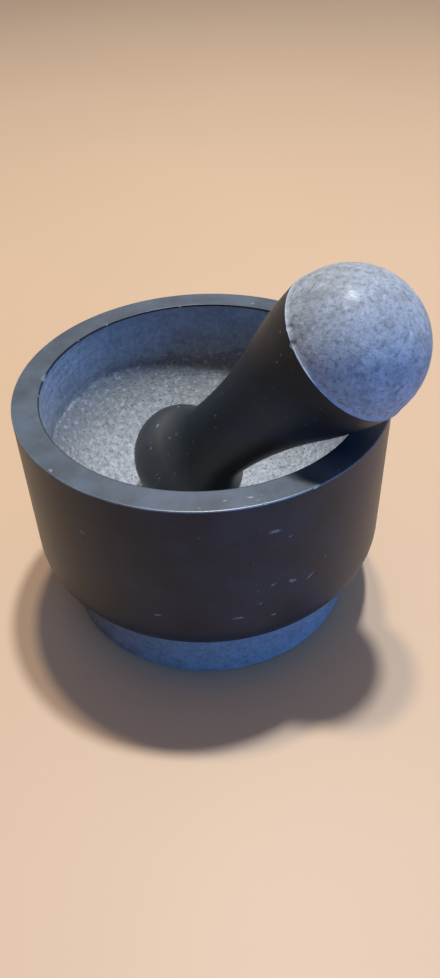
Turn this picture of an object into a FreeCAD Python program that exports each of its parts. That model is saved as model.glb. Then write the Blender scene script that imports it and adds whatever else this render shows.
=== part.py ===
import FreeCAD, Part
import math
import os

# Stone mortar and pestle: two turned pieces of stone.
# Units are millimetres.  +Z is up, the origin is the centre of the mortar's
# underside, and the mortar is turned about the Z axis.  The pestle leans over
# the bowl in one upright plane through that axis.

# --- mortar, outside ---
mortar_height = 103.4
rim_outer_radius = 75.0
body_swell = 0.3
shoulder_radius = 14.0
shoulder_height = 39.8
shoulder_turn_deg = 62.0
foot_height = 24.0
foot_inset = 11.0
foot_draft = 1.5
foot_bevel = 1.0

# --- mortar, inside ---
rim_width = 10.7
rim_arris = 0.5
wall_depth = 24.0
wall_draft = 1.3
floor_height = 38.5

# --- pestle, lengths measured along its own axis from the middle of the knob ---
knob_radius = 25.4
knob_round = 15.5
knob_end_length = 17.2
waist_radius = 16.5
waist_distance = 24.1
flare_radius = 174.0
head_radius = 29.1
head_swell_distance = 113.4
head_edge_distance = 101.3
head_lip = 0.5
dome_height = 26.5

# --- how the pestle rests in the mortar ---
rest_gap = 0.3
lean_azimuth_deg = -29.2
knob_offset = -0.6

# Radius of the mortar's mouth, and of the ring that the knob's side curves about.
mouth_radius = rim_outer_radius - rim_width
knob_ring = knob_radius - knob_round

up = FreeCAD.Vector(0, 0, 1)
origin = FreeCAD.Vector(0, 0, 0)


def point(radius, height):
    return FreeCAD.Vector(radius, 0, height)


def on_circle(centre, radius, angle_deg):
    angle = math.radians(angle_deg)
    return centre + point(radius * math.cos(angle), radius * math.sin(angle))


def arc_about(centre, radius, start_deg, end_deg):
    start = on_circle(centre, radius, start_deg)
    middle = on_circle(centre, radius, (start_deg + end_deg) / 2)
    end = on_circle(centre, radius, end_deg)
    return Part.Arc(start, middle, end).toShape()


def dome_over(base_height, base_radius, rise):
    """Round dome from the edge of its base to its top on the centre line."""
    radius = (base_radius**2 + rise**2) / (2 * rise)
    centre = point(0, base_height + rise - radius)
    start_deg = math.degrees(math.atan2(radius - rise, base_radius))
    return arc_about(centre, radius, start_deg, 90)


def bowl_curve():
    """Round bowl from the foot of the inner wall down to the middle of its floor."""
    edge_radius = mouth_radius - wall_draft
    depth = mortar_height - wall_depth - floor_height
    radius = (edge_radius**2 + depth**2) / (2 * depth)
    start_deg = math.degrees(math.atan2(depth - radius, edge_radius))
    return arc_about(point(0, floor_height + radius), radius, start_deg, -90)


def turned(edges):
    """Join the edges in order with straight lines and turn the outline into a solid."""
    outline = []
    for index, edge in enumerate(edges):
        here = edge.valueAt(edge.LastParameter)
        following_edge = edges[(index + 1) % len(edges)]
        following = following_edge.valueAt(following_edge.FirstParameter)
        outline.append(edge)
        if here.distanceToPoint(following) > 1e-6:
            outline.append(Part.makeLine(here, following))
    face = Part.Face(Part.Wire(outline))
    solid = face.revolve(origin, up, 360)
    if solid.Volume < 0:
        solid.reverse()
    return solid


def mortar():
    body_radius = rim_outer_radius + body_swell
    foot_radius = rim_outer_radius - foot_inset
    shoulder_centre = point(body_radius - shoulder_radius, shoulder_height)
    outer_arris = point(rim_outer_radius - rim_arris, mortar_height - rim_arris)
    inner_arris = point(mouth_radius + rim_arris, mortar_height - rim_arris)
    return turned([
        Part.makeLine(point(0, 0), point(foot_radius - foot_bevel, 0)),
        Part.makeLine(
            point(foot_radius, foot_bevel),
            point(foot_radius - foot_draft, foot_height),
        ),
        arc_about(shoulder_centre, shoulder_radius, -shoulder_turn_deg, 0),
        arc_about(outer_arris, rim_arris, 0, 90),
        arc_about(inner_arris, rim_arris, 90, 180),
        bowl_curve(),
    ])


def end_radius():
    """Radius of the shallow dome that ends the knob and runs into its side curve."""
    top = knob_ring**2 + knob_end_length**2 - knob_round**2
    return top / (2 * (knob_end_length - knob_round))


def neck_radius():
    """Radius of the hollow curve that runs from the knob's side curve to the waist."""
    step = waist_radius - knob_ring
    top = waist_distance**2 + step**2 - knob_round**2
    return top / (2 * (knob_round - step))


def swell_radius():
    """Radius of the full curve under the head that meets the hollow flare."""
    rise = head_radius - waist_radius
    run = head_swell_distance - waist_distance
    return (run**2 + rise**2) / (2 * rise) - flare_radius


def upright_pestle():
    """The pestle with its axis on Z and the middle of its knob at the origin."""
    end = end_radius()
    neck = neck_radius()
    swell = swell_radius()
    end_centre = point(0, end - knob_end_length)
    knob_centre = point(knob_ring, 0)
    neck_centre = point(waist_radius + neck, waist_distance)
    flare_centre = point(waist_radius + flare_radius, waist_distance)
    swell_centre = point(head_radius - swell, head_swell_distance)
    end_deg = math.degrees(math.atan2(-end_centre.z, knob_ring))
    neck_deg = math.degrees(math.atan2(waist_distance, neck_centre.x - knob_ring))
    flare_run = head_swell_distance - waist_distance
    flare_deg = math.degrees(math.asin(flare_run / (flare_radius + swell)))
    edge_deg = math.degrees(math.asin((head_edge_distance - head_swell_distance) / swell))
    head_edge = on_circle(swell_centre, swell, edge_deg)
    return turned([
        arc_about(end_centre, end, -90, end_deg),
        arc_about(knob_centre, knob_round, end_deg, neck_deg),
        arc_about(neck_centre, neck, neck_deg + 180, 180),
        arc_about(flare_centre, flare_radius, 180, 180 - flare_deg),
        arc_about(swell_centre, swell, -flare_deg, edge_deg),
        dome_over(head_edge_distance + head_lip, head_edge.x - head_lip, dome_height),
    ])


def lean_deg():
    """Slope of the pestle when its knob is on the bowl's floor and its shaft on the rim."""
    knob_rest = point(knob_offset, floor_height + rest_gap + knob_round)
    rim_edge = point(mouth_radius + rim_arris, mortar_height - rim_arris)
    swell = swell_radius()
    reach = rim_edge - knob_rest
    arm_out = head_swell_distance
    arm_across = swell + knob_ring - head_radius
    arm = math.hypot(arm_out, arm_across)
    touching = swell + rest_gap + rim_arris
    cosine = (reach.Length**2 + arm**2 - touching**2) / (2 * reach.Length * arm)
    opening = math.acos(cosine)
    return math.degrees(math.atan2(reach.z, reach.x) - math.atan2(arm_across, arm_out) + opening)


def pestle():
    lean = math.radians(lean_deg())
    knob_x = knob_offset - knob_ring * math.sin(lean)
    knob_z = floor_height + rest_gap + knob_round + knob_ring * math.cos(lean)
    solid = upright_pestle()
    solid.rotate(origin, FreeCAD.Vector(0, 1, 0), 90 - math.degrees(lean))
    solid.translate(point(knob_x, knob_z))
    solid.rotate(origin, up, lean_azimuth_deg)
    return solid


os.makedirs("parts", exist_ok=True)
for name, shape in (("mortar", mortar()), ("pestle", pestle())):
    shape.exportStep(f"parts/{name}.step")
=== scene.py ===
import bpy
import math
import random
import numpy as np
from mathutils import Matrix, Vector, noise


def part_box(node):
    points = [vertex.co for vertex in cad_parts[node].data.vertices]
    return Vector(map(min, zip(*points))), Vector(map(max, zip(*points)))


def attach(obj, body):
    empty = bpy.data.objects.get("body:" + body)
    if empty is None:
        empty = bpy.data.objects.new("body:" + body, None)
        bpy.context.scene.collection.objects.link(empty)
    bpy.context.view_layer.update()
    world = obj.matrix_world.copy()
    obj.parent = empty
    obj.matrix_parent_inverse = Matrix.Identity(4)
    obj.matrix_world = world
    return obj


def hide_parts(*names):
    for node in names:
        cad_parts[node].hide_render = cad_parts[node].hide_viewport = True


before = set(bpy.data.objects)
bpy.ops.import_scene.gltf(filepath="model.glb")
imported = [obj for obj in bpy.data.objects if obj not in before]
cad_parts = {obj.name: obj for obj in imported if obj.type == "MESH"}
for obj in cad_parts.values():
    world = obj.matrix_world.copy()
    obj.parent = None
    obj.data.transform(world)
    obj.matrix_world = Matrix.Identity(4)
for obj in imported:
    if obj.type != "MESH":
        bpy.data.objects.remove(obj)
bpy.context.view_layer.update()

MM = 0.001

# ---------------------------------------------------------------------------
# Sizes.  The mortar's height and width come from the frame, and so do the
# pestle's place and lean.  The rest are the two pieces' own sizes.
# ---------------------------------------------------------------------------

mortar_low, mortar_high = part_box("mortar")
mortar_height = mortar_high.z
body_radius = mortar_high.x

body_swell = 0.3 * MM
rim_radius = body_radius - body_swell
rim_width = 10.7 * MM
rim_arris = 0.5 * MM
mouth_radius = rim_radius - rim_width
shoulder_radius = 14.0 * MM
shoulder_height = 39.8 * MM
shoulder_turn = math.radians(62)
foot_height = 24.0 * MM
foot_radius = rim_radius - 11.0 * MM
foot_draft = 1.5 * MM
foot_bevel = 1.0 * MM
wall_depth = 24.0 * MM
wall_draft = 1.3 * MM
wall_foot_radius = mouth_radius - wall_draft
wall_foot_height = mortar_height - wall_depth
polish_depth = 0.8 * MM
floor_height = 38.5 * MM

knob_radius = 25.4 * MM
knob_round = 15.5 * MM
knob_end_length = 17.2 * MM
waist_radius = 16.5 * MM
waist_distance = 24.1 * MM
flare_radius = 174.0 * MM
head_radius = 29.1 * MM
head_swell_distance = 113.4 * MM
head_edge_distance = 101.3 * MM
head_arris = 0.3 * MM
head_lip = 0.5 * MM
dome_height = 26.5 * MM
# Width of the painted highlight band that runs from the head's lip onto the dome.
painted_highlight_width = 0.4 * MM

edge_chip_depth = 0.2 * MM
crisp_edge_angle = math.radians(40)
around_mortar = 1080
around_bowl = 360
around_pestle = 460


# ---------------------------------------------------------------------------
# Outlines.  An outline is a list of (radius, height, zone) points that runs
# with the stone on its left; the zone names the finish of the strip that
# starts at the point.
# ---------------------------------------------------------------------------


def straight(start, end, steps, zone):
    """Points from start towards end, without the end itself."""
    shares = [step / steps for step in range(steps)]
    return [
        (start[0] + (end[0] - start[0]) * s, start[1] + (end[1] - start[1]) * s, zone)
        for s in shares
    ]


def arc(centre, radius, start, end, steps, zone):
    """Points round a centre from one angle towards another, without the last."""
    angles = [start + (end - start) * step / steps for step in range(steps)]
    return [
        (centre[0] + radius * math.cos(a), centre[1] + radius * math.sin(a), zone)
        for a in angles
    ]


def outside_outline():
    """Foot, shoulder, side and rim, and the polished start of the inner wall."""
    quarter = math.pi / 2
    beside_edge = 2.5 * MM
    centre = (body_radius - shoulder_radius, shoulder_height)
    turn_in = (
        centre[0] + shoulder_radius * math.cos(shoulder_turn),
        centre[1] - shoulder_radius * math.sin(shoulder_turn),
    )
    edge_height = mortar_height - rim_arris
    outer = rim_radius - rim_arris
    inner = mouth_radius + rim_arris
    bevel_in = (foot_radius - foot_bevel, 0)
    bevel_out = (foot_radius, foot_bevel)
    foot_top = (foot_radius - foot_draft, foot_height)
    points = straight((0, 0), bevel_in, 5, "foot")
    points += straight(bevel_in, bevel_out, 2, "foot")
    points += straight(bevel_out, foot_top, 12, "foot")
    points += straight(foot_top, turn_in, 2, "side")
    points += arc(centre, shoulder_radius, -shoulder_turn, 0, 12, "side")
    under_edge = (rim_radius, edge_height - beside_edge)
    points += straight((body_radius, shoulder_height), under_edge, 10, "side")
    points += straight(under_edge, (rim_radius, edge_height), 7, "side")
    # The outer arris has its own zone, painted paler as a highlight line along the rim's edge.
    points += arc((outer, edge_height), rim_arris, 0, quarter, 4, "edge")
    rim_out = (outer - beside_edge, mortar_height)
    rim_in = (inner + beside_edge, mortar_height)
    points += straight((outer, mortar_height), rim_out, 7, "rim")
    points += straight(rim_out, rim_in, 4, "rim")
    points += straight(rim_in, (inner, mortar_height), 7, "rim")
    points += arc((inner, edge_height), rim_arris, quarter, 2 * quarter, 4, "side")
    points += straight(
        (mouth_radius, edge_height), (mouth_radius, mortar_height - polish_depth), 4, "side"
    )
    points.append((mouth_radius, mortar_height - polish_depth, "side"))
    return points


def bowl_outline():
    """The inner wall and the round bowl below it, down to the middle of the floor."""
    depth = wall_foot_height - floor_height
    radius = (wall_foot_radius**2 + depth**2) / (2 * depth)
    edge_angle = math.atan2(depth - radius, wall_foot_radius)
    top = (mouth_radius, mortar_height - polish_depth)
    points = straight(top, (wall_foot_radius, wall_foot_height), 60, "bowl")
    points += arc((0, floor_height + radius), radius, edge_angle, -math.pi / 2, 190, "bowl")
    points.append((0, floor_height, "bowl"))
    return points


def pestle_outline():
    """Knob, waist, flaring shaft, head edge and dome, with the knob's middle at height 0."""
    ring = knob_radius - knob_round
    end = (ring**2 + knob_end_length**2 - knob_round**2) / (2 * (knob_end_length - knob_round))
    step = waist_radius - ring
    neck = (waist_distance**2 + step**2 - knob_round**2) / (2 * (knob_round - step))
    rise = head_radius - waist_radius
    run = head_swell_distance - waist_distance
    swell = (run**2 + rise**2) / (2 * rise) - flare_radius
    end_angle = math.atan2(knob_end_length - end, ring)
    neck_angle = math.atan2(waist_distance, waist_radius + neck - ring)
    flare_angle = math.asin(run / (flare_radius + swell))
    swell_x = head_radius - swell
    base = head_edge_distance + head_lip
    corner = head_edge_distance - head_arris
    edge_angle = math.asin((corner - head_swell_distance) / swell)
    edge_radius = swell_x + swell * math.cos(edge_angle)
    base_radius = edge_radius - head_lip
    dome = (base_radius**2 + dome_height**2) / (2 * dome_height)
    dome_z = base + dome_height - dome
    dome_angle = math.atan2(dome - dome_height, base_radius)
    arris = (edge_radius - head_arris, corner)
    points = arc((0, end - knob_end_length), end, -math.pi / 2, end_angle, 8, "side")
    points += arc((ring, 0), knob_round, end_angle, neck_angle, 44, "side")
    points += arc(
        (waist_radius + neck, waist_distance), neck, neck_angle + math.pi, math.pi, 16, "side"
    )
    points += arc(
        (waist_radius + flare_radius, waist_distance),
        flare_radius, math.pi, math.pi - flare_angle, 30, "side",
    )
    points += arc((swell_x, head_swell_distance), swell, -flare_angle, edge_angle, 40, "side")
    points += arc(arris, head_arris, 0, math.pi / 2, 4, "lip")
    lip_end = dome_angle + painted_highlight_width / dome
    points += straight((arris[0], head_edge_distance), (base_radius, base), 2, "lip")
    points += arc((0, dome_z), dome, dome_angle, lip_end, 3, "lip")
    points += arc((0, dome_z), dome, lip_end, math.pi / 2, 70, "dome")
    points.append((0, dome_z + dome, "dome"))
    return points


# ---------------------------------------------------------------------------
# Wear.  A chip is a scoop: every point inside its ball moves out to the
# ball's surface, which leaves a shell-shaped hollow in the stone.
# ---------------------------------------------------------------------------


def scoop_at(turn, radius, height, away, ball, bite):
    """One scoop's (ball centre, ball radius), bitten into the stone from the side away."""
    around = Vector((math.cos(turn), math.sin(turn), 0))
    outward = (around * away[0] + Vector((0, 0, away[1]))).normalized()
    return around * radius + Vector((0, 0, height)) + outward * (ball - bite), ball


def edge_chips(seed, count, radius, height, away, smallest, largest):
    """Scoops of different sizes at random places along a round edge."""
    dice = random.Random(seed)
    chips = []
    for _ in range(count):
        turn = dice.uniform(0, 2 * math.pi)
        ball = smallest + (largest - smallest) * dice.random() ** 3
        chips.append(scoop_at(turn, radius, height, away, ball, ball * dice.uniform(0.1, 0.22)))
    return chips


def cut_scoops(points, chips):
    """Moves the points of each chip and says how deep each point was cut, in metres."""
    cut = np.zeros(len(points))
    for centre, ball in chips:
        away = points - np.array(centre)
        distance = np.linalg.norm(away, axis=1)
        inside = distance < ball
        cut[inside] = np.maximum(cut[inside], ball - distance[inside])
        points[inside] = np.array(centre) + away[inside] * (ball / distance[inside])[:, None]
    return cut


def unevenness(points, size, seed):
    """A number from 0 to 1 for each point, that wanders over the given size."""
    shift = Vector((seed * 7.3, seed * 3.1, seed * 5.7))
    values = [noise.fractal(Vector(p) / size + shift, 0.8, 2.0, 3) for p in points]
    return np.clip(np.array(values) * 0.5 + 0.5, 0, 1)


# ---------------------------------------------------------------------------
# Turned pieces.
# ---------------------------------------------------------------------------


no_dust_or_sheen = (-2.0, -1.0)


class Wear:
    """How a piece departs from its clean outline, always into the stone.

    Grain and grooves give a size and a depth for each zone.  Dust and sheen gives the two
    heights between which the knob's paler grey fades out: dust, and painted sheen for the
    knob's soft reflection.  Without any, both lie below the piece.
    """

    def __init__(self, chips=(), grain=None, grooves=None, dust_and_sheen=no_dust_or_sheen):
        self.chips = chips
        self.grain = grain or {}
        self.grooves = grooves or {}
        self.dust_and_sheen = dust_and_sheen


def outline_normals(radii, heights):
    """Directions out of the stone, across the outline, as (radius, height) parts."""
    run, rise = np.gradient(radii), np.gradient(heights)
    length = np.hypot(run, rise)
    return rise / length, -run / length


def turned_points(rings, segments, wear):
    """The worn surface's points, ring by ring, and how deep each was chipped."""
    angles = np.arange(segments) * (2 * math.pi / segments)
    radii = np.array([p[0] for p in rings])
    heights = np.array([p[1] for p in rings])
    zones = [p[2] for p in rings]
    around = np.stack([np.cos(angles), np.sin(angles)], axis=1)
    points = np.empty((len(rings), segments, 3))
    points[:, :, :2] = radii[:, None, None] * around[None]
    points[:, :, 2] = heights[:, None]
    out, up = outline_normals(radii, heights)
    travelled = np.cumsum(np.hypot(np.gradient(radii), np.gradient(heights)))
    depth = np.zeros((len(rings), segments))
    for zone, (size, amount) in wear.grain.items():
        worn = [row for row, name in enumerate(zones) if name == zone]
        flat = points[worn].reshape(-1, 3)
        depth[worn] += amount * unevenness(flat, size, 1).reshape(len(worn), segments)
    for zone, (spacing, amount) in wear.grooves.items():
        for row, name in enumerate(zones):
            if name == zone:
                wave = noise.noise(Vector((travelled[row] / spacing, 0.5, 0.5)))
                depth[row] += amount * min(max(0.5 + wave, 0), 1)
    points[:, :, :2] -= (out[:, None] * depth)[:, :, None] * around[None]
    points[:, :, 2] -= up[:, None] * depth
    points = points.reshape(-1, 3)
    return points, cut_scoops(points, wear.chips)


def turned_faces(zones, segments, below, above):
    """Faces over the closed ends and between the rings, with the zone of each.

    Zones has one name for each ring.  Below and above are the numbers of the
    points in the middle of the two ends, or None for an end that is open.
    """
    steps = [(step, (step + 1) % segments) for step in range(segments)]
    last = (len(zones) - 1) * segments
    faces, face_zones = [], []
    if below is not None:
        faces += [(below, following, step) for step, following in steps]
        face_zones += [zones[0]] * segments
    if above is not None:
        faces += [(above, last + step, last + following) for step, following in steps]
        face_zones += [zones[-1]] * segments
    for row, zone in enumerate(zones[:-1]):
        low, high = row * segments, (row + 1) * segments
        for step, following in steps:
            faces.append((low + step, low + following, high + following, high + step))
        face_zones += [zone] * segments
    return faces, face_zones


def number_on_mesh(mesh, name, values):
    """Stores one number for each point, 0 for the points past the end of values."""
    stored = np.zeros(len(mesh.vertices))
    stored[: len(values)] = values
    mesh.attributes.new(name, "FLOAT", "POINT").data.foreach_set("value", stored)


def turned_piece(name, outline, segments, finishes, wear, place=None):
    """A turned mesh, with one material for each zone of the outline."""
    closed_below = outline[0][0] == 0
    closed_above = outline[-1][0] == 0
    rings = outline[closed_below : len(outline) - closed_above]
    points, cut = turned_points(rings, segments, wear)
    dust_and_sheen_amount = np.interp(points[:, 2], wear.dust_and_sheen, (1, 0))
    points = [Vector(p) for p in points]
    below = above = None
    if closed_below:
        below = len(points)
        points.append(Vector((0, 0, outline[0][1])))
    if closed_above:
        above = len(points)
        points.append(Vector((0, 0, outline[-1][1])))
    faces, zones = turned_faces([ring[2] for ring in rings], segments, below, above)
    if place:
        points = [place @ p for p in points]
    names = list(finishes)
    mesh = bpy.data.meshes.new(name)
    mesh.from_pydata(points, [], faces)
    for zone in names:
        mesh.materials.append(finishes[zone])
    mesh.polygons.foreach_set("material_index", [names.index(zone) for zone in zones])
    mesh.polygons.foreach_set("use_smooth", [True] * len(faces))
    number_on_mesh(mesh, "chipped", np.minimum(cut / edge_chip_depth, 1))
    number_on_mesh(mesh, "dust_and_sheen_amount", dust_and_sheen_amount)
    mesh.update()
    mesh.set_sharp_from_angle(angle=crisp_edge_angle)
    piece = bpy.data.objects.new(name, mesh)
    bpy.context.scene.collection.objects.link(piece)
    return piece


def pestle_place():
    """Where the upright pestle goes: its knob's middle to its place, its axis to its lean."""
    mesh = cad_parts["pestle"].data
    mesh.calc_loop_triangles()
    points = np.array([v.co for v in mesh.vertices])
    corners = points[np.array([t.vertices for t in mesh.loop_triangles])]
    weights = np.linalg.norm(
        np.cross(corners[:, 1] - corners[:, 0], corners[:, 2] - corners[:, 0]), axis=1
    )
    middles = corners.mean(axis=1)
    centre = (middles * weights[:, None]).sum(axis=0) / weights.sum()
    spread = (middles - centre).T @ ((middles - centre) * weights[:, None])
    axis = np.linalg.eigh(spread)[1][:, -1]
    axis = axis if axis[2] > 0 else -axis
    knob = centre + axis * (((points - centre) @ axis).min() + knob_end_length)
    turn = Vector((0, 0, 1)).rotation_difference(Vector(axis))
    return Matrix.Translation(Vector(knob)) @ turn.to_matrix().to_4x4()


# ---------------------------------------------------------------------------
# Finishes.  A Mix node repeats its sockets' names for each kind of data, so the
# ones for colours are chosen by number.
# ---------------------------------------------------------------------------

mix_share, mix_first, mix_second = 0, 6, 7
mix_colour = 2


class Wire:
    """One output of a node.  Arithmetic on it adds Math nodes."""

    def __init__(self, board, socket):
        self.board = board
        self.socket = socket

    def __add__(self, other):
        return self.board.maths("ADD", self, other)

    def __radd__(self, other):
        return self.board.maths("ADD", other, self)

    def __sub__(self, other):
        return self.board.maths("SUBTRACT", self, other)

    def __rsub__(self, other):
        return self.board.maths("SUBTRACT", other, self)

    def __mul__(self, other):
        return self.board.maths("MULTIPLY", self, other)

    def __rmul__(self, other):
        return self.board.maths("MULTIPLY", other, self)

    def __truediv__(self, other):
        return self.board.maths("DIVIDE", self, other)

    def __rtruediv__(self, other):
        return self.board.maths("DIVIDE", other, self)


class Board:
    """The nodes of a material or of the room, added one at a time."""

    def __init__(self, tree):
        self.tree = tree
        self.tree.nodes.clear()

    def add(self, kind, settings=None, sockets=None, output=0):
        """A node: its type, then its settings, then the values or wires of its sockets."""
        node = self.tree.nodes.new(kind)
        for name, value in (settings or {}).items():
            setattr(node, name, value)
        for name, value in (sockets or {}).items():
            if isinstance(value, Wire):
                self.tree.links.new(value.socket, node.inputs[name])
            else:
                node.inputs[name].default_value = value
        return Wire(self, node.outputs[output]) if len(node.outputs) else node

    def part(self, vector, axis):
        """One of a vector's X, Y and Z."""
        return self.add("ShaderNodeSeparateXYZ", {}, {"Vector": vector}, axis)

    def joined(self, x=0.0, y=0.0, z=0.0):
        """A vector from its three parts."""
        return self.add("ShaderNodeCombineXYZ", {}, {"X": x, "Y": y, "Z": z})

    def maths(self, operation, first, second=0.0):
        return self.add("ShaderNodeMath", {"operation": operation}, {0: first, 1: second})

    def vector(self, operation, first, second, output=0):
        return self.add(
            "ShaderNodeVectorMath", {"operation": operation}, {0: first, 1: second}, output
        )

    def step(self, value, low, high, at_low=0.0, at_high=1.0):
        """Goes smoothly from at_low to at_high, whichever of low and high is larger."""
        return self.add(
            "ShaderNodeMapRange",
            {"interpolation_type": "SMOOTHSTEP"},
            {"Value": value, "From Min": low, "From Max": high, "To Min": at_low,
             "To Max": at_high},
        )

    def blend(self, share, first, second):
        """Colour between first and second."""
        return self.add(
            "ShaderNodeMix",
            {"data_type": "RGBA"},
            {mix_share: share, mix_first: first, mix_second: second},
            mix_colour,
        )


class Finish(Board):
    """A material."""

    def __init__(self, name):
        self.material = bpy.data.materials.new(name)
        self.material.use_nodes = True
        super().__init__(self.material.node_tree)
        self.place = self.add("ShaderNodeTexCoord", output="Object")

    def on_mesh(self, name):
        """A number that the mesh holds at each of its points."""
        return self.add("ShaderNodeAttribute", {"attribute_name": name}, {}, "Fac")

    def noise(self, size, detail=2.0, rough=0.5, place=None):
        """Clouds about as wide as size, in metres."""
        return self.add(
            "ShaderNodeTexNoise",
            {},
            {"Vector": place or self.place, "Scale": 1 / size, "Detail": detail,
             "Roughness": rough},
        )

    def cells(self, size, output="Distance"):
        """Cells about as wide as size: the distance to the middle, or a colour for each."""
        return self.add(
            "ShaderNodeTexVoronoi", {}, {"Vector": self.place, "Scale": 1 / size}, output
        )

    def surface(self, colour, roughness, height, depth, specular=0.5, sheen=0.0):
        """Ends the material; sheen is how much of a thin soft gloss lies over it."""
        bump = self.add(
            "ShaderNodeBump", {}, {"Height": height, "Strength": 1.0, "Distance": depth}
        )
        shader = self.add(
            "ShaderNodeBsdfPrincipled",
            {},
            {"Base Color": colour, "Roughness": roughness, "Normal": bump,
             "Specular IOR Level": specular, "Coat Weight": sheen, "Coat Roughness": 0.28},
        )
        self.add("ShaderNodeOutputMaterial", {}, {"Surface": shader})
        return self.material


def grey(shade, blue=0.3):
    """A stone grey; blue says how much more blue than red it has."""
    return (shade, shade * (1 + blue * 0.4), shade * (1 + blue), 1)


def mineral_marks(finish, marks):
    """1 inside the ragged oval of each mark, 0 outside.

    A mark is its place, the direction it lies along, its half length and half width.
    """
    shift = finish.noise(1.0 * MM, 3) * (1.6 * MM) - 0.8 * MM
    place = finish.vector("ADD", finish.place, finish.joined(shift, shift, shift))
    nearest = None
    for spot, along, length, width in marks:
        own = finish.add(
            "ShaderNodeMapping",
            {"vector_type": "TEXTURE"},
            {"Vector": place, "Location": spot,
             "Rotation": along.to_track_quat("X", "Z").to_euler(),
             "Scale": (length, width, width)},
        )
        distance = finish.vector("LENGTH", own, (0, 0, 0), "Value")
        nearest = finish.maths("MINIMUM", nearest, distance) if nearest else distance
    return finish.step(nearest, 1.15, 0.6)


def black_polish(name, marks, shade, specular, dullness, chip_shade, rarity):
    """Honed and waxed stone: near black, satin, with pale mineral marks.

    Rarity says how few of the cells hold a speck.
    """
    finish = Finish(name)
    cloud = finish.noise(16 * MM, 4, 0.6)
    grain = finish.noise(0.8 * MM, 3, 0.6)
    wide = finish.noise(5 * MM, 2, 0.5)
    spacing = 2.8 * MM
    speck = finish.step(finish.cells(spacing) - wide * 0.16, 0.12, 0.03)
    rare = finish.step(finish.cells(spacing, "Color"), rarity, rarity + 0.35)
    mark = finish.maths("MAXIMUM", speck * rare * 0.45, mineral_marks(finish, marks))
    chip = finish.step(finish.on_mesh("chipped") + grain * 0.5, 0.5, 0.9)
    darkest, palest = grey(shade * 0.7, 1.1), grey(shade * 1.3, 1.1)
    stone = finish.blend(finish.step(cloud, 0.3, 0.7), darkest, palest)
    # Paler grey towards the knob's end: partly dust, partly painted sheen that stands in for the
    # knob's soft reflection.
    dust_and_sheen = finish.on_mesh("dust_and_sheen_amount") * (0.35 + cloud * 0.5)
    stone_with_dust_and_sheen = finish.blend(dust_and_sheen, stone, grey(0.05, 0.2))
    marked = finish.blend(mark * (0.35 + grain * 0.7), stone_with_dust_and_sheen, grey(0.17, 0.08))
    colour = finish.blend(chip * 0.6, marked, grey(chip_shade))
    roughness = dullness + cloud * 0.1 + mark * 0.15 + chip * 0.3
    height = grain * 0.3 + wide * 0.4 - mark * 0.8
    return finish.surface(colour, roughness, height, 0.04 * MM, specular)


def raw_grey(name, shade, contrast, sheen=0.0):
    """Stone as the wheel left it: matt grey, mottled with darker and paler grains."""
    finish = Finish(name)
    cloud = finish.noise(14 * MM, 4, 0.6)
    mottle = finish.noise(1.7 * MM, 3, 0.65)
    grain = finish.noise(0.55 * MM, 3, 0.7)
    patch = finish.noise(5 * MM, 3, 0.6)
    colour = finish.blend(finish.step(cloud, 0.25, 0.75), grey(shade * 0.84), grey(shade * 1.1))
    for pattern, start, full, strength, share in (
        (patch, 0.6, 0.32, 0.75, 0.55), (mottle, 0.52, 0.3, 1.0, 0.4),
        (mottle, 0.55, 0.75, 0.6, 1.7), (grain, 0.5, 0.3, 0.55, 0.35),
    ):
        amount = finish.step(pattern, start, full) * (strength * contrast)
        colour = finish.blend(amount, colour, grey(shade * share))
    height = grain * 0.6 + mottle * 0.8
    return finish.surface(colour, 0.7 + grain * 0.15, height, 0.2 * MM, 0.35, sheen)


def grinding_run(finish, height):
    """A place to take noise at, so that it comes out as short strokes round the bowl."""
    stroke_width = 0.8 * MM
    strokes_per_radian = 14.0
    x, y = finish.part(finish.place, "X"), finish.part(finish.place, "Y")
    turn = finish.maths("ARCTAN2", x, y)
    radius = finish.vector("LENGTH", finish.joined(x, y), (0, 0, 0), "Value")
    return finish.joined(turn * strokes_per_radian, z=(height + radius) / stroke_width)


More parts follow.
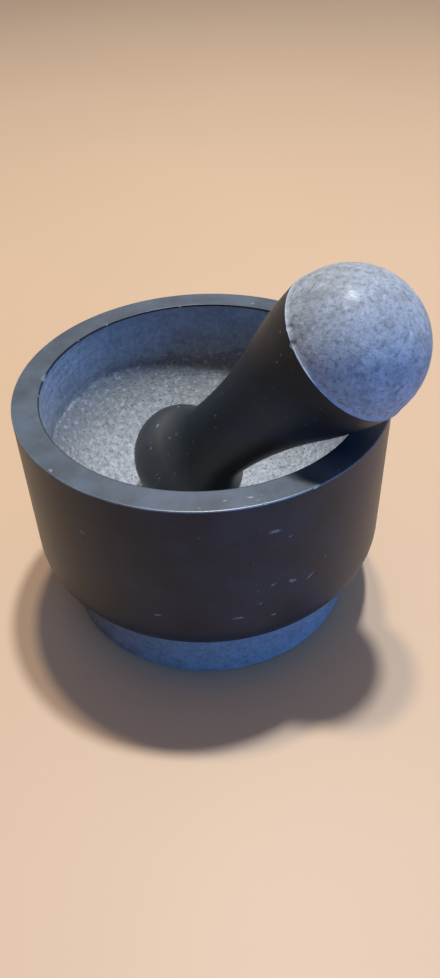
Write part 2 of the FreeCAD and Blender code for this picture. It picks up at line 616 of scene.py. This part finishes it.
def ground_bowl(name, shade):
    """The working face: a smoother wall over a bowl with rings left by the grinder, and painted
    shade on the ground stone just below the wall.
    """
    finish = Finish(name)
    height_up = finish.part(finish.place, "Z")
    cloud = finish.noise(12 * MM, 4, 0.6)
    mottle = finish.noise(2.1 * MM, 3, 0.65)
    grain = finish.noise(0.7 * MM, 3, 0.7)
    patch = finish.noise(4 * MM, 3, 0.6)
    strokes = finish.noise(1.0, 2, 0.6, grinding_run(finish, height_up))
    border = height_up + cloud * (12 * MM) + mottle * (3 * MM)
    ground = finish.step(border, wall_foot_height + 9.5 * MM, wall_foot_height + 5.5 * MM)
    # Painted shade: the ground stone is darkest just below the wall, under the rim, and reaches
    # its full paler grey about 21 mm lower down.
    level = height_up + cloud * (6 * MM)
    out_of_painted_shade = finish.step(level, wall_foot_height + 2 * MM, wall_foot_height - 21 * MM)
    pits = finish.step(finish.cells(2.2 * MM) + grain * 0.3 - patch * 0.2, 0.3, 0.18) * ground
    stone = finish.blend(finish.step(cloud, 0.25, 0.75), grey(shade * 0.85), grey(shade * 1.05))
    ground_stone_with_painted_shade = finish.blend(out_of_painted_shade, grey(shade * 0.45, 0.5), grey(shade * 1.25, 0.15))
    colour = finish.blend(ground * 0.75, stone, ground_stone_with_painted_shade)
    for pattern, start, full, on_wall, more_on_ground, share in (
        (strokes, 0.5, 0.34, 0.12, 0.5, 0.5), (patch, 0.58, 0.3, 0.4, 0.1, 0.5),
        (mottle, 0.52, 0.3, 0.3, 0.25, 0.4), (mottle, 0.53, 0.72, 0.3, 0.2, 1.8),
    ):
        amount = finish.step(pattern, start, full) * (on_wall + ground * more_on_ground)
        colour = finish.blend(amount, colour, grey(shade * share))
    colour = finish.blend(pits * 0.6, colour, grey(shade * 0.4))
    height = (grain * 0.6 + mottle * 0.8 - pits) * (0.25 + ground * 0.75) + strokes * 0.6
    return finish.surface(colour, 0.62 + grain * 0.15, height, 0.2 * MM, 0.4)


# ---------------------------------------------------------------------------
# Marks in the black finish.
# ---------------------------------------------------------------------------


def side_mark(turn, height, tilt, length, width):
    """A mark on the mortar's side: degrees round, then millimetres and degrees of tilt."""
    a, t = math.radians(turn), math.radians(tilt)
    around = Vector((-math.sin(a), math.cos(a), 0))
    spot = Vector((math.cos(a) * body_radius, math.sin(a) * body_radius, height * MM))
    along = around * math.cos(t) + Vector((0, 0, 1)) * math.sin(t)
    return spot, along, length * MM / 2, width * MM / 2


def rim_mark(turn, radius, tilt, length, width):
    """A mark on the rim's flat top."""
    a, t = math.radians(turn), math.radians(tilt)
    out = Vector((math.cos(a), math.sin(a), 0))
    spot = out * (radius * MM) + Vector((0, 0, mortar_height))
    along = Vector((-out.y, out.x, 0)) * math.cos(t) + out * math.sin(t)
    return spot, along, length * MM / 2, width * MM / 2


def shaft_mark(place, turn, radius, distance, tilt, length, width):
    """A mark on the pestle: degrees round its axis, then radius and distance along it."""
    a, t = math.radians(turn), math.radians(tilt)
    out = Vector((math.cos(a), math.sin(a), 0))
    spot = out * (radius * MM) + Vector((0, 0, distance * MM))
    along = Vector((-out.y, out.x, 0)) * math.cos(t) + Vector((0, 0, 1)) * math.sin(t)
    return place @ spot, place.to_3x3() @ along, length * MM / 2, width * MM / 2


side_marks = [
    side_mark(-71.2, 89.5, -5, 5.0, 1.5),
    side_mark(-66.7, 84.7, 0, 1.6, 0.8),
    side_mark(-59.3, 59.4, 35, 4.2, 0.9),
    side_mark(-65.4, 61.2, -25, 3.6, 1.4),
    side_mark(-71.3, 62.6, 20, 2.0, 1.0),
    side_mark(-75.1, 53.9, 60, 1.6, 0.9),
    side_mark(-71.1, 45.5, 0, 2.0, 1.1),
    side_mark(-81.5, 48.1, -4, 4.8, 1.1),
    side_mark(-54.0, 65.4, 80, 2.6, 0.7),
    side_mark(-125.8, 82.3, 0, 3.0, 1.4),
    side_mark(-104.8, 49.4, 4, 3.4, 1.1),
    side_mark(-91.5, 91.4, 20, 2.0, 0.7),
    side_mark(20, 70, 30, 4.0, 1.2),
    side_mark(95, 58, -20, 3.5, 1.1),
    side_mark(150, 85, 10, 4.5, 1.3),
    side_mark(200, 63, 45, 3.0, 0.9),
    side_mark(52, 88, -10, 2.6, 1.0),
    side_mark(-20, 75, 15, 3.4, 1.0),
]

rim_marks = [
    rim_mark(-83.9, 70.1, 0, 1.8, 0.8),
    rim_mark(-77.0, 70.4, 10, 2.4, 1.1),
    rim_mark(-136.2, 73.6, 20, 2.0, 0.9),
    rim_mark(69.6, 67.9, 0, 2.2, 1.0),
    rim_mark(12, 69, 40, 2.0, 0.9),
]


def pestle_marks(place):
    """Marks on the knob, the shaft and under the head."""
    return [
        shaft_mark(place, 170.6, 22.6, 8.8, 10, 2.0, 0.8),
        shaft_mark(place, 130.2, 21.9, 9.8, 0, 1.7, 0.9),
        shaft_mark(place, -172.6, 19.9, 58.6, 80, 1.4, 0.6),
        shaft_mark(place, -174.5, 18.7, 51.7, 85, 1.6, 0.6),
        shaft_mark(place, -156.8, 17.7, 44.3, 60, 1.8, 0.6),
        shaft_mark(place, -144.2, 17.4, 41.7, 60, 2.0, 0.6),
        shaft_mark(place, -166.0, 28.3, 97.5, 0, 1.6, 0.6),
        shaft_mark(place, -168.5, 23.9, 6.9, 60, 1.8, 0.5),
        shaft_mark(place, -163.5, 23.8, 6.9, -55, 1.9, 0.6),
        shaft_mark(place, -136.5, 24.5, 5.2, 80, 1.4, 0.5),
        shaft_mark(place, -132.5, 24.4, 5.4, 75, 1.6, 0.5),
        shaft_mark(place, -100, 22.5, 9.6, 30, 1.4, 0.5),
        shaft_mark(place, -150, 27.2, 92.0, 60, 1.8, 0.7),
        shaft_mark(place, -137, 26.0, 84.0, 30, 1.5, 0.6),
        shaft_mark(place, -120, 23.0, 70.0, 50, 1.6, 0.6),
        shaft_mark(place, 40, 20, 60, 70, 3.0, 0.9),
        shaft_mark(place, 95, 25, 82, 30, 2.2, 0.8),
        shaft_mark(place, -60, 18, 46, 50, 2.6, 0.8),
    ]


# ---------------------------------------------------------------------------
# The two stones.
# ---------------------------------------------------------------------------


def mortar_chips():
    """Small chips along both edges of the rim, and two larger ones."""
    onto_arris = rim_arris * 0.3
    edge = mortar_height - onto_arris
    outer = rim_radius - onto_arris
    inner = mouth_radius + onto_arris
    chips = edge_chips(7, 16, outer, edge, (1, 1), 0.8 * MM, 2.4 * MM)
    chips += edge_chips(12, 22, inner, edge, (-1, 1), 0.8 * MM, 2.2 * MM)
    left, front = math.radians(173.2), math.radians(-59.2)
    chips.append(scoop_at(left, inner, edge, (-1, 1), 3.4 * MM, 0.7 * MM))
    chips.append(scoop_at(front, rim_radius - 0.1 * MM, edge, (1, 1), 2.2 * MM, 0.5 * MM))
    return chips


def build_mortar():
    """The mortar's one stone, as its polished and raw outside and its ground bowl."""
    outside = turned_piece(
        "mortar_outside", outside_outline(), around_mortar,
        {"foot": raw_grey("raw_foot", shade=0.175, contrast=0.5),
         "side": black_polish("side_polish", side_marks, shade=0.01, specular=0.27,
                              dullness=0.32, chip_shade=0.16, rarity=0.68),
         "rim": black_polish("rim_polish", rim_marks, shade=0.031, specular=0.5,
                             dullness=0.4, chip_shade=0.2, rarity=0.6),
         # Painted highlight: the outer arris is painted paler than the rim to show the lamp's
         # glint along it; its higher specular is real gloss.
         "edge": black_polish("edge_polish_painted_highlight", rim_marks, shade=0.05, specular=0.8,
                              dullness=0.34, chip_shade=0.2, rarity=0.6)},
        Wear(mortar_chips(), grain={"foot": (2.5 * MM, 0.12 * MM)}),
    )
    bowl = turned_piece(
        "mortar_bowl", bowl_outline(), around_bowl,
        {"bowl": ground_bowl("ground_bowl", shade=0.25)},
        Wear(grain={"bowl": (2.6 * MM, 0.12 * MM)}, grooves={"bowl": (1.1 * MM, 0.05 * MM)}),
    )
    for piece in (outside, bowl):
        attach(piece, "mortar")
        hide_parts("mortar")


def pestle_chips():
    """Small chips round the head's edge, and two larger ones at its upper side."""
    radius = head_radius - 0.7 * MM
    chips = edge_chips(3, 15, radius, head_edge_distance, (1, 1), 0.6 * MM, 1.6 * MM)
    for turn, below, away, ball, bite in (
        (-152.2, 0.4 * MM, (1, 0.6), 2.3 * MM, 0.45 * MM), (-164.1, 0, (1, 1), 1.9 * MM, 0.4 * MM),
    ):
        height = head_edge_distance - below
        chips.append(scoop_at(math.radians(turn), radius, height, away, ball, bite))
    return chips


def build_pestle():
    """The pestle's one stone, with a paler grey on the knob that works in the bowl: dust, and
    painted sheen.
    """
    place = pestle_place()
    marks = pestle_marks(place)
    grain = {"dome": (2.2 * MM, 0.12 * MM)}
    pestle = turned_piece(
        "pestle_stone", pestle_outline(), around_pestle,
        {"side": black_polish("pestle_polish", marks, shade=0.006, specular=0.38,
                              dullness=0.4, chip_shade=0.12, rarity=0.55),
         "dome": raw_grey("raw_dome", shade=0.235, contrast=0.8, sheen=0.13),
         # The lip zone's paler, less mottled grey is a painted highlight along the head's edge.
         "lip": raw_grey("lip_painted_highlight", shade=0.25, contrast=0.3)},
        Wear(pestle_chips(), grain, dust_and_sheen=(2 * MM, waist_distance)), place,
    )
    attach(pestle, "pestle")
    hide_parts("pestle")


# ---------------------------------------------------------------------------
# The stage: floor, lights and camera.
# ---------------------------------------------------------------------------


def plain_floor():
    """A wide pale table top."""
    half = 3.0
    mesh = bpy.data.meshes.new("floor")
    corners = [(-half, -half, 0), (half, -half, 0), (half, half, 0), (-half, half, 0)]
    mesh.from_pydata(corners, [], [(0, 1, 2, 3)])
    finish = Finish("floor_paint")
    cloud = finish.noise(0.3, 3)
    mesh.materials.append(
        finish.surface(
            finish.blend(cloud, (0.4, 0.275, 0.18, 1), (0.435, 0.3, 0.2, 1)),
            0.5 + cloud * 0.05, cloud, 0.1 * MM, 0.3,
        )
    )
    floor = bpy.data.objects.new("floor", mesh)
    bpy.context.scene.collection.objects.link(floor)


def lamp(name, azimuth, elevation, distance, width, height, power, colour):
    """An oval lamp that points at the mortar's mouth from the given direction."""
    data = bpy.data.lights.new(name, "AREA")
    data.shape = "ELLIPSE"
    data.size = width
    data.size_y = height
    data.energy = power
    data.color = colour
    light = bpy.data.objects.new(name, data)
    a, e = math.radians(azimuth), math.radians(elevation)
    towards = Vector((math.cos(a) * math.cos(e), math.sin(a) * math.cos(e), math.sin(e)))
    light.location = Vector((0, 0, mortar_height)) + towards * distance
    light.rotation_euler = towards.to_track_quat("Z", "Y").to_euler()
    bpy.context.scene.collection.objects.link(light)


def room_light(front, back, colour):
    """Light from all round, dim from the front and brighter from the pale wall behind."""
    world = bpy.data.worlds.new("room")
    world.use_nodes = True
    room = Board(world.node_tree)
    direction = room.add("ShaderNodeTexCoord", output="Generated")
    strength = room.step(room.part(direction, "Y"), -0.5, 0.7, front, back)
    light = room.add("ShaderNodeBackground", {}, {"Color": (*colour, 1), "Strength": strength})
    room.add("ShaderNodeOutputWorld", {}, {"Surface": light})
    bpy.context.scene.world = world


def make_camera(place, look_down, lean, lens):
    """Stands in front of the mortar, looks down at it, and leans a little to one side."""
    data = bpy.data.cameras.new("camera")
    data.lens = lens
    data.sensor_width = 36.0
    camera = bpy.data.objects.new("camera", data)
    camera.matrix_world = (
        Matrix.Translation(place)
        @ Matrix.Rotation(math.radians(90 - look_down), 4, "X")
        @ Matrix.Rotation(math.radians(-lean), 4, "Z")
    )
    bpy.context.scene.collection.objects.link(camera)
    bpy.context.scene.camera = camera


build_mortar()
build_pestle()
plain_floor()
lamp("cool_ceiling_lamp", azimuth=63, elevation=76.5, distance=1.6, width=0.1, height=0.1,
     power=35, colour=(0.76, 0.85, 0.94))
lamp("warm_ceiling_lamp", azimuth=89, elevation=77, distance=1.6, width=0.1, height=0.1,
     power=16, colour=(1.0, 0.87, 0.68))
lamp("ceiling_glow", azimuth=-90, elevation=80, distance=1.6, width=0.9, height=0.9,
     power=2.2, colour=(1.0, 0.62, 0.36))
lamp("window", azimuth=-54, elevation=12, distance=1.2, width=1.3, height=0.35,
     power=14, colour=(0.09, 0.37, 1.0))
room_light(front=0.1, back=0.6, colour=(0.97, 0.91, 0.87))
make_camera(place=(5.8 * MM, -261.7 * MM, 278.7 * MM), look_down=41.54, lean=2.0, lens=28.87)
bpy.context.scene.view_settings.view_transform = "Standard"
